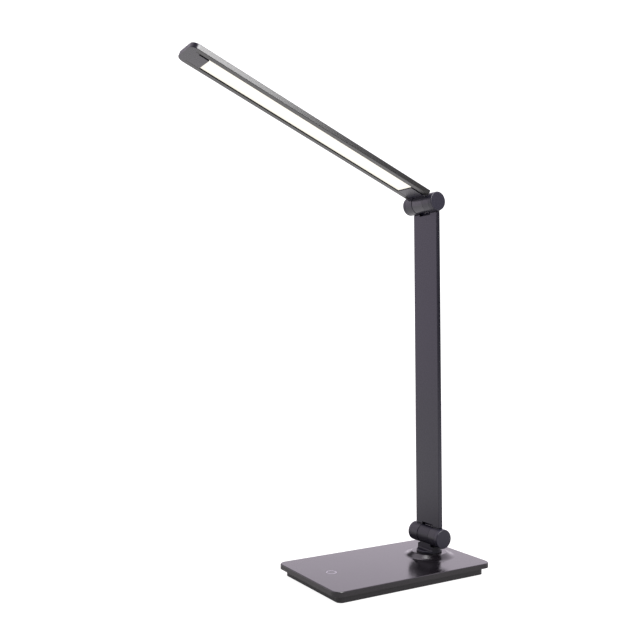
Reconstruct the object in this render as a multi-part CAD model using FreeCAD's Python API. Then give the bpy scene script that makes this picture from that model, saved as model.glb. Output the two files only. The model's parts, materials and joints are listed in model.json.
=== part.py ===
import FreeCAD, Part
import math
import os

# Folding LED table lamp: weighted base, swivelling neck, flat arm and slim bar head.
# Millimetres, +Z up, the head points towards -Y and the hinge pins lie along X.
# The origin is the centre of the base's underside, on the desk.

# Base: a flat cover that overhangs an inset tray, with a rubber sheet underneath
base_width = 101.0
base_length = 173.0
base_corner = 8.0
cover_edge_height = 4.5
cover_wall = 2.0
cover_edge_round = 0.8
tray_side_inset = 4.6
tray_end_inset = 5.7
tray_height = 6.5
tray_wall = 2.0
tray_floor = 1.6
tray_corner = 5.0
pad_thickness = 1.3
pad_recess = 0.5
pad_inset = 4.0

# Ballast and the four screws that close the base
ballast_thickness = 4.2
ballast_clear = 1.9
ballast_to_neck = 28.0
closing_screw_inset_x = 8.0
closing_screw_inset_y = 8.0
closing_boss_radius = 4.6
closing_boss_height = 2.6
closing_seat = 1.6
closing_screw_radius = 1.4
closing_head_radius = 2.7
closing_head_height = 1.7
closing_screw_bite = 3.4

# Touch control: a light ring let into the cover above the control board
touch_front = 27.3
touch_ring_outer = 4.7
touch_ring_inner = 3.9
touch_ring_depth = 0.9
electrode_radius = 5.2
electrode_thickness = 0.6
board_width = 30.0
board_length = 22.0
board_thickness = 1.2
board_chip_height = 0.9
board_screw_spacing = 23.0
board_screw_radius = 1.0
board_head_radius = 1.9
board_head_height = 0.5
board_screw_bite = 0.8

# Cord grommet in the back wall of the tray
grommet_bore_radius = 1.5
grommet_body_radius = 2.0
grommet_flange_radius = 2.4
grommet_flange = 1.0

# Boss on the cover and the swivel that turns in it
neck_back = 33.6
boss_foot_radius = 22.5
boss_top_radius = 16.6
boss_height = 3.7
boss_foot_round = 9.0
boss_top_round = 1.2
boss_wall = 2.5
boss_hollow_radius = 14.5
collar_radius = 12.1
collar_height = 1.6
collar_edge = 0.4
neck_foot = 0.8
neck_thickness = 10.0
neck_rise = 15.0
spigot_radius = 7.0
spigot_flat = 6.2
spigot_tail = 0.8
swivel_washer_thickness = 0.5
swivel_washer_radius = 11.2
stop_washer_thickness = 0.6
stop_washer_radius = 11.0
stop_tab_reach = 13.8
stop_tab_width = 6.0
stop_rib_width = 2.0
stop_rib_height = 1.6
stop_rib_inner = 11.6
swivel_limit = 45.0
stop_slack = 2.5
swivel_nut_flats = 18.0
swivel_nut_height = 3.0
lead_channel_radius = 1.6

# Hinges, alike at both ends of the arm: a knuckle between two ears on a hollow pin
barrel_radius = 9.05
knuckle_width = 15.0
knuckle_step = 0.35
seam_chamfer = 0.3
hinge_washer = 0.4
hinge_washer_radius = 7.4
pin_radius = 3.4
pin_bore_radius = 2.2
pin_flange_radius = 4.8
pin_flange = 1.4
pin_tail = 1.0
hinge_nut_height = 1.6
ear_floor = 3.9
ear_recess_radius = 5.5
cap_length = 4.3
cap_edge_round = 0.9
cap_spigot = 1.6
cap_spigot_bore = 4.2

# Arm: a flat hollow extrusion with a bracket plugged into each end
hinge_span = 320.0
arm_lean = 0.93
bar_width = 34.4
arm_thickness = 4.4
upper_setback = 3.4
arm_wall = 1.0
arm_edge_round = 0.6
arm_end_round = 0.8
arm_end_gap = 0.2
slot_height = 2.4
ear_web_inset = 0.3
plug_half_width = 12.0
plug_length = 24.0
plug_step = 0.8
arm_screw_spacing = 16.0
arm_screw_from_end = 14.0
arm_screw_radius = 1.2
arm_screw_head_radius = 2.3
arm_screw_bite = 1.6
arm_lead_radius = 0.9
arm_lead_hole_radius = 1.1
arm_lead_x = 13.8
arm_lead_tail = 3.2

# Head: a slim channel open below, a diffuser behind its rims and a plug at each end
head_tilt = 21.4
head_width = 33.8
head_thickness = 4.8
head_lift = 2.7
head_rear = 9.0
housing_length = 251.7
tip_length = 7.0
tip_corner = 6.8
head_top_round = 0.6
head_bottom_round = 0.4
head_side_wall = 1.2
head_roof = 0.8
rim_thickness = 1.1
window_width = 22.3
rear_panel_length = 16.4
tip_panel_length = 12.9
panel_slit = 2.2
tip_slit_length = 9.6
diffuser_thickness = 0.8
diffuser_overlap = 1.6
guide_overlap = 0.4
reflector_thickness = 0.2
strip_width = 2.6
strip_thickness = 0.5
led_width = 1.0
led_length = 2.8
led_height = 0.6
leds_per_strip = 14
strip_end_space = 6.0
head_lead_channel_radius = 1.0

# Clearances
running = 0.05
sliding = 0.1
ear_over_block = 0.3
slot_clear = 0.3

# How far blocks that become one piece reach into each other
weld = 1.0

# The cross in a screw's head, as shares of the head's radius
cross_reach = 0.5
cross_half_width = 0.17

# Places worked out from the sizes above
tray_bottom = pad_thickness - pad_recess
tray_top = tray_bottom + tray_height
tray_inside = tray_bottom + tray_floor
cover_top = tray_top + cover_edge_height
cover_inside = cover_top - cover_wall
tray_width = base_width - 2 * tray_side_inset
tray_length = base_length - 2 * tray_end_inset
inside_width = tray_width - 2 * tray_wall
inside_length = tray_length - 2 * tray_wall
neck_y = base_length / 2 - neck_back
boss_top = cover_top + boss_height
boss_inside = boss_top - boss_wall
collar_bottom = boss_top + swivel_washer_thickness
collar_top = collar_bottom + collar_height
lower_hinge = FreeCAD.Vector(0, neck_y, collar_bottom + neck_rise)
neck_block_top = lower_hinge.z - barrel_radius - ear_over_block
stop_washer_bottom = boss_inside - stop_washer_thickness
swivel_nut_bottom = stop_washer_bottom - swivel_nut_height
touch_y = touch_front - base_length / 2
board_top = cover_inside - electrode_thickness
board_bottom = board_top - board_thickness
ear_inner = knuckle_width / 2 + hinge_washer
ear_outer = bar_width / 2
ear_recess_floor = ear_inner + ear_floor
arm_half = arm_thickness / 2
arm_start = barrel_radius + arm_end_gap
slot_top = barrel_radius + slot_height
lean = FreeCAD.Rotation(FreeCAD.Vector(1, 0, 0), arm_lean)
upper_hinge = lower_hinge + lean.multVec(FreeCAD.Vector(0, -upper_setback, hinge_span))
head_top = head_lift + head_thickness
rim_top = head_lift + rim_thickness
roof_under = head_top - head_roof
housing_end = head_rear + housing_length
head_front = housing_end + tip_length
window_start = head_rear + rear_panel_length
window_end = housing_end - tip_panel_length
cavity_width = head_width - 2 * head_side_wall
diffuser_top = rim_top + diffuser_thickness
guide_width = window_width + 2 * guide_overlap
guide_top = roof_under - reflector_thickness
strip_bottom = roof_under - strip_thickness


def vector(x, y, z):
    """A point or direction."""
    return FreeCAD.Vector(x, y, z)


def block(x_low, x_high, y_low, y_high, z_low, z_high):
    """A box between two corners."""
    return Part.makeBox(x_high - x_low, y_high - y_low, z_high - z_low, vector(x_low, y_low, z_low))


def post(radius, x, y, z_low, z_high):
    """An upright cylinder."""
    return Part.makeCylinder(radius, z_high - z_low, vector(x, y, z_low))


def rod(radius, x_low, x_high):
    """A cylinder along the X axis, as the hinge pins lie."""
    return Part.makeCylinder(radius, x_high - x_low, vector(x_low, 0, 0), vector(1, 0, 0))


def upright_edges(shape):
    """The straight edges that run along Z."""
    return [edge for edge in shape.Edges if edge.BoundBox.ZLength > 0.99 * edge.Length]


def edges_at_height(shape, height):
    """The edges that lie in the level plane at a height."""
    flat = [edge for edge in shape.Edges if edge.BoundBox.ZLength < 1e-4]
    return [edge for edge in flat if abs(edge.BoundBox.ZMin - height) < 1e-4]


def circles_at_height(shape, height, radius):
    """The level round edges of one radius at a height."""
    round_edges = [edge for edge in edges_at_height(shape, height) if isinstance(edge.Curve, Part.Circle)]
    return [edge for edge in round_edges if abs(edge.Curve.Radius - radius) < 1e-4]


def rims_at(shape, x):
    """The edges that lie in the plane across X at a place."""
    flat = [edge for edge in shape.Edges if edge.BoundBox.XLength < 1e-4]
    return [edge for edge in flat if abs(edge.BoundBox.XMin - x) < 1e-4]


def slab(width, length, corner, z_low, z_high):
    """A level plate with rounded corners, centred on the Z axis."""
    plate = block(-width / 2, width / 2, -length / 2, length / 2, z_low, z_high)
    return plate.makeFillet(corner, upright_edges(plate))


def hexagon(across_flats, x, y, z_low, z_high):
    """An upright hexagonal prism."""
    radius = across_flats / math.sqrt(3)
    turns = [math.radians(60 * corner) for corner in range(7)]
    points = [vector(x + radius * math.cos(turn), y + radius * math.sin(turn), z_low) for turn in turns]
    return Part.Face(Part.makePolygon(points)).extrude(vector(0, 0, z_high - z_low))


def mirrored(shape):
    """The same piece on the other side of the lamp's middle plane."""
    return shape.mirror(vector(0, 0, 0), vector(1, 0, 0))


def at_lower_hinge(shape):
    """Moves a piece from the hinge's own frame to the lower hinge."""
    placed = shape.copy()
    placed.translate(lower_hinge)
    return placed


def in_arm(shape):
    """Moves a piece from the upright arm's frame, with the lower hinge at its origin, to the leaning arm."""
    placed = shape.copy()
    placed.rotate(vector(0, 0, 0), vector(1, 0, 0), arm_lean)
    placed.translate(lower_hinge)
    return placed


def in_head(shape):
    """Moves a piece from the level head's frame, with the upper hinge at its origin, to the tilted head."""
    placed = shape.copy()
    placed.rotate(vector(0, 0, 0), vector(1, 0, 0), -head_tilt)
    placed.translate(upper_hinge)
    return placed


def save(node, *pieces):
    """Writes the solids of one node to its STEP file."""
    solids = [solid for piece in pieces for solid in piece.Solids]
    shape = solids[0] if len(solids) == 1 else Part.makeCompound(solids)
    if not shape.isValid():
        raise RuntimeError(node + " is not a valid shape")
    shape.exportStep("parts/" + node + ".step")
    print(node, len(solids), round(shape.Volume, 1))


def closing_places():
    """The four corners where a screw closes the base."""
    x = inside_width / 2 - closing_screw_inset_x
    y = inside_length / 2 - closing_screw_inset_y
    return [(x, y), (-x, y), (x, -y), (-x, -y)]


def board_places():
    """The two screws that hold the control board under the cover."""
    return [(-board_screw_spacing / 2, touch_y), (board_screw_spacing / 2, touch_y)]


def stop_rib(side):
    """A rib inside the boss that ends the swivel on one side."""
    middle = (stop_rib_inner + boss_hollow_radius) / 2
    tab_angle = math.degrees(math.asin(stop_tab_width / 2 / middle))
    rib_angle = math.degrees(math.asin(stop_rib_width / 2 / middle))
    half = stop_rib_width / 2
    outer = boss_hollow_radius + sliding
    rib = block(-half, half, stop_rib_inner, outer, boss_inside - stop_rib_height, boss_inside)
    rib.rotate(vector(0, 0, 0), vector(0, 0, 1), side * (swivel_limit + tab_angle + rib_angle + stop_slack))
    rib.translate(vector(0, neck_y, 0))
    return rib


def base_cover():
    """The moulded top: a thin plate with a deep edge, and the boss for the neck."""
    cover = slab(base_width, base_length, base_corner, tray_top, cover_top)
    cover = cover.makeFillet(cover_edge_round, edges_at_height(cover, cover_top))
    boss = Part.makeCone(boss_foot_radius, boss_top_radius, boss_height, vector(0, neck_y, cover_top))
    cover = cover.fuse(boss)
    cover = cover.makeFillet(boss_foot_round, circles_at_height(cover, cover_top, boss_foot_radius))
    cover = cover.makeFillet(boss_top_round, edges_at_height(cover, boss_top))
    pocket = slab(inside_width, inside_length, tray_corner - tray_wall, tray_top, cover_inside)
    hollow = post(boss_hollow_radius, 0, neck_y, tray_top, boss_inside)
    ring = post(touch_ring_outer + running, 0, touch_y, cover_top - touch_ring_depth, cover_top)
    ring = ring.cut(post(touch_ring_inner - running, 0, touch_y, cover_top - touch_ring_depth, cover_top))
    cover = cover.cut([pocket, hollow, ring, post(spigot_radius + running, 0, neck_y, tray_top, boss_top)])
    boss_post_bottom = tray_inside + closing_boss_height
    posts = [post(closing_boss_radius, x, y, boss_post_bottom, cover_inside) for x, y in closing_places()]
    posts += [post(board_head_radius, x, y, board_top, cover_inside) for x, y in board_places()]
    cover = cover.fuse(posts + [stop_rib(1), stop_rib(-1)])
    bite_top = boss_post_bottom + closing_screw_bite
    pilot = closing_screw_radius + running
    holes = [post(pilot, x, y, boss_post_bottom, bite_top) for x, y in closing_places()]
    board_bite = cover_inside + board_screw_bite
    holes += [post(board_screw_radius + running, x, y, board_top, board_bite) for x, y in board_places()]
    return cover.cut(holes).removeSplitter()


def base_tray():
    """The inset lower shell with its screw bosses, the grommet's hole and the recess for the pad."""
    tray = slab(tray_width, tray_length, tray_corner, tray_bottom, tray_top)
    tray = tray.cut(slab(inside_width, inside_length, tray_corner - tray_wall, tray_inside, tray_top))
    boss_top_z = tray_inside + closing_boss_height
    tray = tray.fuse([post(closing_boss_radius, x, y, tray_inside, boss_top_z) for x, y in closing_places()])
    seat = boss_top_z - closing_seat
    cuts = [post(closing_head_radius + sliding, x, y, tray_bottom, seat) for x, y in closing_places()]
    cuts += [post(closing_screw_radius + sliding, x, y, seat, boss_top_z) for x, y in closing_places()]
    cuts.append(pad_shape(pad_thickness - pad_recess, pad_thickness))
    wall = Part.makeCylinder(
        grommet_body_radius + running, tray_wall, vector(0, inside_length / 2, grommet_z()), vector(0, 1, 0))
    return tray.cut(cuts + [wall]).removeSplitter()


def grommet_z():
    """The height of the cord's hole, low enough for the bush to clear the cover."""
    return tray_inside + grommet_flange_radius + running


def pad_shape(z_low, z_high):
    """The outline of the rubber sheet between two heights."""
    return slab(tray_width - 2 * pad_inset, tray_length - 2 * pad_inset, tray_corner, z_low, z_high)


def closing_screws():
    """Four pan-head screws that come up from under the pad."""
    seat = tray_inside + closing_boss_height - closing_seat
    tip = tray_inside + closing_boss_height + closing_screw_bite - sliding
    screws = []
    for x, y in closing_places():
        low = seat - closing_head_height
        deep = low + closing_head_height / 2
        head = post(closing_head_radius, x, y, low, seat)
        reach = cross_reach * closing_head_radius
        half = cross_half_width * closing_head_radius
        cross = [block(x - reach, x + reach, y - half, y + half, low, deep)]
        cross.append(block(x - half, x + half, y - reach, y + reach, low, deep))
        screws.append(head.fuse(post(closing_screw_radius, x, y, seat, tip)).cut(cross))
    return screws


def ballast_plate():
    """The steel plate that keeps the lamp standing when its arm reaches forward."""
    half = inside_width / 2 - ballast_clear
    front = closing_screw_inset_y + closing_boss_radius + ballast_clear - inside_length / 2
    back = neck_y - ballast_to_neck
    return block(-half, half, front, back, tray_inside, tray_inside + ballast_thickness)


def control_board():
    """The touch and driver board, with its chips on the underside."""
    half = board_width / 2
    front = touch_y - board_length / 2
    board = block(-half, half, front, front + board_length, board_bottom, board_top)
    chip = board_length / 4
    low = board_bottom - board_chip_height
    chips = [block(-chip / 2, chip / 2, touch_y + chip / 2, touch_y + 3 * chip / 2, low, board_bottom)]
    chips.append(block(-chip, chip, touch_y - 3 * chip / 2, touch_y - chip / 2, low, board_bottom))
    board = board.fuse(chips)
    holes = [post(board_screw_radius + sliding, x, y, board_bottom, board_top) for x, y in board_places()]
    return board.cut(holes).removeSplitter()


def board_screws():
    """Two small screws through the board into the cover's posts."""
    screws = []
    for x, y in board_places():
        head = post(board_head_radius, x, y, board_bottom - board_head_height, board_bottom)
        tip = cover_inside + board_screw_bite - sliding
        screws.append(head.fuse(post(board_screw_radius, x, y, board_bottom, tip)))
    return screws


def touch_electrode():
    """The conductive foam puck between the board and the cover."""
    return post(electrode_radius, 0, touch_y, board_top, cover_inside)


def touch_ring():
    """The clear ring let into the cover that lights to show where to touch."""
    low = cover_top - touch_ring_depth
    disc = post(touch_ring_outer, 0, touch_y, low, cover_top)
    return disc.cut(post(touch_ring_inner, 0, touch_y, low, cover_top))


def cord_grommet():
    """The rubber bush that the cord passes through."""
    inner = inside_length / 2 - grommet_flange
    outer = tray_length / 2 + grommet_flange
    along = vector(0, 1, 0)
    place = vector(0, inner, grommet_z())
    bush = Part.makeCylinder(grommet_body_radius, outer - inner, place, along)
    near = Part.makeCylinder(grommet_flange_radius, grommet_flange, place, along)
    outside = vector(0, tray_length / 2, grommet_z())
    far = Part.makeCylinder(grommet_flange_radius, grommet_flange, outside, along)
    rim = [edge for edge in far.Edges if edge.BoundBox.YMin > tray_length / 2 + sliding]
    far = far.makeFillet(grommet_flange / 2, rim)
    bore = Part.makeCylinder(grommet_bore_radius, outer - inner, place, along)
    return bush.fuse([near, far]).cut(bore).removeSplitter()


def knuckle():
    """The middle knuckle of a hinge, a little under the ears so that the seams show."""
    return rod(barrel_radius - knuckle_step, -knuckle_width / 2, knuckle_width / 2)


def neck_post():
    """The die-cast neck: spigot, round collar, flat-sided block and the lower hinge's knuckle."""
    y = neck_y
    half = neck_thickness / 2
    collar = post(collar_radius, 0, y, collar_bottom, collar_top)
    collar = collar.makeChamfer(collar_edge, edges_at_height(collar, collar_top))
    low = collar_top - collar_edge
    foot_top = collar_top + neck_foot
    front = [(-half, low), (-half - neck_foot, collar_top), (-half, foot_top), (-half, neck_block_top)]
    back = [(-across, height) for across, height in reversed(front)]
    points = [vector(-collar_radius, y + across, height) for across, height in front + back + front[:1]]
    flats = Part.Face(Part.makePolygon(points)).extrude(vector(2 * collar_radius, 0, 0))
    upper = post(collar_radius, 0, y, low, neck_block_top).common(flats)
    wide = knuckle_width / 2
    stem = block(-wide, wide, y - half, y + half, neck_block_top - weld, lower_hinge.z)
    tail = swivel_nut_bottom - spigot_tail
    spigot = post(spigot_radius, 0, y, tail, collar_bottom)
    for side in (-1, 1):
        inner, outer = sorted([side * spigot_flat, side * spigot_radius])
        spigot = spigot.cut(block(inner, outer, y - spigot_radius, y + spigot_radius, tail, boss_inside))
    neck = collar.fuse([upper, stem, spigot, at_lower_hinge(knuckle())])
    bore = at_lower_hinge(rod(pin_radius + running, -wide, wide))
    channel = post(lead_channel_radius, 0, y, tail, lower_hinge.z)
    return neck.cut([bore, channel]).removeSplitter()


def spigot_hole(z_low, z_high):
    """The hole that a keyed washer has over the spigot's flats."""
    hole = post(spigot_radius + running, 0, neck_y, z_low, z_high)
    half = spigot_flat + running
    return hole.common(block(-half, half, neck_y - 2 * half, neck_y + 2 * half, z_low, z_high))


def swivel_washer():
    """The nylon washer that the collar turns on."""
    washer = post(swivel_washer_radius, 0, neck_y, boss_top, collar_bottom)
    return washer.cut(post(spigot_radius + running, 0, neck_y, boss_top, collar_bottom))


def stop_washer():
    """The keyed washer under the boss, whose tab meets the stop ribs."""
    low = stop_washer_bottom
    half = stop_tab_width / 2
    washer = post(stop_washer_radius, 0, neck_y, low, boss_inside)
    tab_start = neck_y + spigot_radius + weld
    washer = washer.fuse(block(-half, half, tab_start, neck_y + stop_tab_reach, low, boss_inside))
    return washer.cut(spigot_hole(low, boss_inside)).removeSplitter()


def swivel_nut():
    """The nut on the spigot that sets the swivel's friction."""
    nut = hexagon(swivel_nut_flats, 0, neck_y, swivel_nut_bottom, stop_washer_bottom)
    return nut.cut(post(spigot_radius + running, 0, neck_y, swivel_nut_bottom, stop_washer_bottom))


def hinge_pin():
    """A hollow pin with a flange, and a side hole facing down for the lead."""
    tail = -(ear_recess_floor + hinge_nut_height + pin_tail)
    head = ear_recess_floor + pin_flange
    pin = rod(pin_radius, tail, head).fuse(rod(pin_flange_radius, ear_recess_floor, head))
    hole = post(lead_channel_radius, 0, 0, -2 * pin_radius, 0)
    return pin.cut([rod(pin_bore_radius, tail, head), hole]).removeSplitter()


def hinge_nut():
    """The slotted ring nut on the pin's plain end."""
    near = -ear_recess_floor
    nut = rod(pin_flange_radius, near - hinge_nut_height, near)
    slot = pin_flange_radius / 6
    outside = near - hinge_nut_height
    key = block(outside, outside + hinge_nut_height / 2, -slot, slot, -pin_flange_radius, pin_flange_radius)
    return nut.cut([rod(pin_radius + running, near - hinge_nut_height, near), key]).removeSplitter()


def hinge_washers():
    """The two friction washers between the knuckle and the ears."""
    washer = rod(hinge_washer_radius, knuckle_width / 2, ear_inner)
    washer = washer.cut(rod(pin_radius + running, knuckle_width / 2, ear_inner))
    return [washer, mirrored(washer)]


def hinge_cap():
    """The snap-in cap over the pin's end, on the +X side."""
    outside = ear_outer + cap_length
    cap = rod(barrel_radius, ear_outer, outside)
    cap = cap.makeFillet(cap_edge_round, rims_at(cap, outside))
    cap = cap.makeChamfer(seam_chamfer / 2, rims_at(cap, ear_outer))
    spigot = rod(ear_recess_radius - sliding, ear_outer - cap_spigot, ear_outer + sliding)
    spigot = spigot.cut(rod(cap_spigot_bore, ear_outer - cap_spigot, ear_outer + sliding))
    return cap.fuse(spigot).removeSplitter()


def arm_screw_places():
    """X and height of the screws of the lower bracket, in the arm's frame."""
    height = slot_top + arm_screw_from_end
    return [(-arm_screw_spacing / 2, height), (arm_screw_spacing / 2, height)]


def arm_screw(x, z, gap):
    """A countersunk screw through the arm's back wall, enlarged by a gap when used as a hole."""
    into = vector(0, -1, 0)
    place = vector(x, arm_half, z)
    head = Part.makeCone(arm_screw_head_radius + gap, arm_screw_radius + gap, arm_wall, place, into)
    return head.fuse(Part.makeCylinder(arm_screw_radius + gap, arm_wall + arm_screw_bite, place, into))


def arm_screws():
    """Two screws in each bracket, with a cross in each head."""
    screws = []
    reach = cross_reach * arm_screw_head_radius
    half = cross_half_width * arm_screw_head_radius
    deep = arm_half - arm_wall / 2
    for x, low in arm_screw_places():
        for z in (low, hinge_span - low):
            cross = [block(x - reach, x + reach, deep, arm_half, z - half, z + half)]
            cross.append(block(x - half, x + half, deep, arm_half, z - reach, z + reach))
            screws.append(arm_screw(x, z, 0).cut(cross))
    return screws


def set_forward(shape, setback):
    """Moves a hinge piece in front of the arm's middle plane."""
    moved = shape.copy()
    moved.translate(vector(0, -setback, 0))
    return moved


def arm_bracket(setback):
    """A bracket in the arm's frame: two hinge ears, set forward, joined by a plug inside the arm."""
    half_hollow = arm_half - arm_wall - running
    plug_low = slot_top + plug_step
    web_inner = ear_inner + seam_chamfer
    web_outer = ear_outer - ear_web_inset
    pieces = []
    cuts = []
    for side in (-1, 1):
        inner, outer = sorted([side * ear_inner, side * ear_outer])
        ear = rod(barrel_radius, inner, outer)
        ear = ear.makeChamfer(seam_chamfer, rims_at(ear, side * ear_inner))
        web_low, web_high = sorted([side * web_inner, side * web_outer])
        leg_low, leg_high = sorted([side * web_inner, side * plug_half_width])
        web = block(web_low, web_high, -arm_half, arm_half, 0, arm_start - running)
        leg = block(leg_low, leg_high, -half_hollow, half_hollow, arm_start - weld, plug_low + weld)
        pieces += [set_forward(ear, setback), web, leg]
        floor, mouth = sorted([side * ear_recess_floor, side * ear_outer])
        cuts.append(set_forward(rod(ear_recess_radius, floor, mouth), setback))
        cuts.append(set_forward(rod(pin_radius + running, inner, outer), setback))
    lip = block(-web_inner - weld, web_inner + weld, 0, half_hollow, 0, plug_low + weld)
    lip = lip.cut(set_forward(rod(barrel_radius - knuckle_step + slot_clear, -ear_inner, ear_inner), setback))
    plug = block(
        -plug_half_width, plug_half_width, -half_hollow, half_hollow, plug_low, plug_low + plug_length)
    bracket = plug.fuse(pieces + [lip])
    lead_hole = post(arm_lead_hole_radius, arm_lead_x, 0, ear_recess_radius / 2, arm_start)
    holes = [arm_screw(x, z, running) for x, z in arm_screw_places()]
    return bracket.cut(cuts + [lead_hole] + holes).removeSplitter()


def upper_bracket():
    """The bracket turned over for the upper end of the arm."""
    return arm_bracket(upper_setback).mirror(vector(0, 0, hinge_span / 2), vector(0, 0, 1))


def arm_tube():
    """The flat hollow extrusion between the hinges, with a slot over each knuckle."""
    half = bar_width / 2
    tube = block(-half, half, -arm_half, arm_half, arm_start, hinge_span - arm_start)
    corners = [edge for edge in tube.Edges if edge.BoundBox.YLength > 0.99 * edge.Length]
    tube = tube.makeFillet(arm_end_round, corners)
    sides = [edge for edge in upright_edges(tube) if edge.Length > hinge_span / 2]
    tube = tube.makeFillet(arm_edge_round, sides)
    inner = half - arm_wall
    wall = arm_half - arm_wall
    cuts = [block(-inner, inner, -wall, wall, arm_start, hinge_span - arm_start)]
    for low, high in ((arm_start, slot_top), (hinge_span - slot_top, hinge_span - arm_start)):
        cuts.append(block(-ear_inner, ear_inner, -arm_half, arm_half, low, high))
    for x, low in arm_screw_places():
        cuts += [arm_screw(x, low, running), arm_screw(x, hinge_span - low, running)]
    return tube.cut(cuts).removeSplitter()


def arm_lead():
    """The two-core lead's run inside the arm, from one hinge's recess to the other's."""
    low = arm_start - arm_lead_tail
    return post(arm_lead_radius, arm_lead_x, 0, low, hinge_span - low)


def along_head(half_width, near, far, z_low, z_high):
    """A box centred across the head, between two distances from the hinge, in the head's frame."""
    return block(-half_width, half_width, -far, -near, z_low, z_high)


def head_housing():
    """The thin channel that is the head's roof, sides and rims."""
    half = head_width / 2
    shell = along_head(half, head_rear, housing_end, head_lift, head_top)
    long_edges = [edge for edge in shell.Edges if edge.BoundBox.YLength > 0.99 * edge.Length]
    upper = [edge for edge in long_edges if edge.BoundBox.ZMin > head_top - sliding]
    shell = shell.makeFillet(head_top_round, upper)
    level = edges_at_height(shell, head_lift)
    lower = [edge for edge in level if edge.BoundBox.YLength > 0.99 * edge.Length]
    shell = shell.makeFillet(head_bottom_round, lower)
    cavity = along_head(cavity_width / 2, head_rear, housing_end, rim_top, roof_under)
    window = along_head(window_width / 2, head_rear, housing_end, head_lift, rim_top)
    return shell.cut([cavity, window]).removeSplitter()


def end_plug(near, far):
    """What fills the channel's end: a panel flush with the rims, a slit beside it and a plate behind."""
    left = sliding - window_width / 2
    panel = block(left, window_width / 2 - panel_slit, -far, -near, head_lift, rim_top + sliding)
    plate = along_head(cavity_width / 2 - sliding, near, far, rim_top + running, roof_under - running)
    return [panel, plate]


def head_tip():
    """The moulded end of the head, rounded at its corners, with its plug."""
    half = head_width / 2
    tip = along_head(half, housing_end, head_front, head_lift, head_top)
    corners = [edge for edge in upright_edges(tip) if edge.BoundBox.YMax < -housing_end - sliding]
    tip = tip.makeFillet(tip_corner, corners)
    top = [edge for edge in edges_at_height(tip, head_top) if edge.BoundBox.YMin < -housing_end - sliding]
    tip = tip.makeFillet(head_top_round, top)
    bottom = [edge for edge in edges_at_height(tip, head_lift) if edge.BoundBox.YMin < -housing_end - sliding]
    tip = tip.makeFillet(head_bottom_round, bottom)
    half_panel = window_width / 2 - sliding
    slit_end = window_end + tip_slit_length
    past_slit = along_head(half_panel, slit_end, housing_end + weld, head_lift, rim_top + sliding)
    plug = end_plug(window_end + sliding, housing_end + weld)
    return tip.fuse(plug + [past_slit]).removeSplitter()


def head_bracket():
    """The upper hinge's knuckle, its tongue and the panel that closes the head's rear end."""
    half = knuckle_width / 2
    tongue = along_head(half, 0, window_start - sliding, head_lift, roof_under - running)
    bracket = knuckle().fuse([tongue] + end_plug(head_rear, window_start - sliding))
    bore = rod(pin_radius + running, -half, half)
    middle = (head_lift + roof_under) / 2
    rise = post(lead_channel_radius, 0, 0, 0, middle)
    channel = Part.makeCylinder(head_lead_channel_radius, window_start, vector(0, 0, middle), vector(0, -1, 0))
    return bracket.cut([bore, rise, channel]).removeSplitter()


def diffuser():
    """The opal sheet that rests on the rims."""
    half = window_width / 2 + diffuser_overlap
    return along_head(half, window_start, window_end, rim_top, diffuser_top)


def light_guide():
    """The clear plate behind the diffuser that carries the light in from its edges."""
    return along_head(guide_width / 2, window_start, window_end, diffuser_top, guide_top)


def reflector_sheet():
    """The white film between the light guide and the roof."""
    return along_head(guide_width / 2, window_start, window_end, guide_top, roof_under)


def led_strips():
    """The two narrow circuit strips along the light guide's edges, under the roof."""
    outer = cavity_width / 2 - sliding
    strip = block(outer - strip_width, outer, -window_end, -window_start, strip_bottom, roof_under)
    return [strip, mirrored(strip)]


def leds():
    """The LEDs on both strips, evenly spaced and facing the light guide's edges."""
    near = guide_width / 2 + sliding
    first = window_start + strip_end_space
    pitch = (window_end - strip_end_space - first) / (leds_per_strip - 1)
    lamps = []
    for count in range(leds_per_strip):
        front = -(first + count * pitch) - led_length / 2
        low = strip_bottom - led_height
        lamp = block(near, near + led_width, front, front + led_length, low, strip_bottom)
        lamps += [lamp, mirrored(lamp)]
    return lamps


def turned_over(shape):
    """The hinge pin with its side hole facing up, as the head's lead needs."""
    turned = shape.copy()
    turned.rotate(vector(0, 0, 0), vector(1, 0, 0), 180)
    return turned


def write_base():
    """The pieces that stand on the desk."""
    save("base_cover", base_cover())
    save("base_tray", base_tray())
    save("anti_slip_pad", pad_shape(0, pad_thickness))
    save("ballast_plate", ballast_plate())
    save("closing_screws", *closing_screws())
    save("control_board", control_board())
    save("board_screws", *board_screws())
    save("touch_electrode", touch_electrode())
    save("touch_ring", touch_ring())
    save("cord_grommet", cord_grommet())


def write_neck():
    """The pieces that swivel on the base."""
    save("neck_post", neck_post())
    save("swivel_washer", swivel_washer())
    save("stop_washer", stop_washer())
    save("swivel_nut", swivel_nut())
    save("lower_hinge_pin", at_lower_hinge(hinge_pin()))
    save("lower_hinge_nut", at_lower_hinge(hinge_nut()))
    save("lower_hinge_washers", *[at_lower_hinge(washer) for washer in hinge_washers()])


def write_arm():
    """The pieces that tilt at the lower hinge."""
    save("arm_tube", in_arm(arm_tube()))
    save("lower_arm_bracket", in_arm(arm_bracket(0)))
    save("upper_arm_bracket", in_arm(upper_bracket()))
    save("arm_screws", *[in_arm(screw) for screw in arm_screws()])
    save("arm_lead", in_arm(arm_lead()))
    upper_cap = hinge_cap()
    upper_cap.translate(vector(0, -upper_setback, hinge_span))
    save("lower_cap_right", in_arm(hinge_cap()))
    save("lower_cap_left", in_arm(mirrored(hinge_cap())))
    save("upper_cap_right", in_arm(upper_cap))
    save("upper_cap_left", in_arm(mirrored(upper_cap)))


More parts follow.
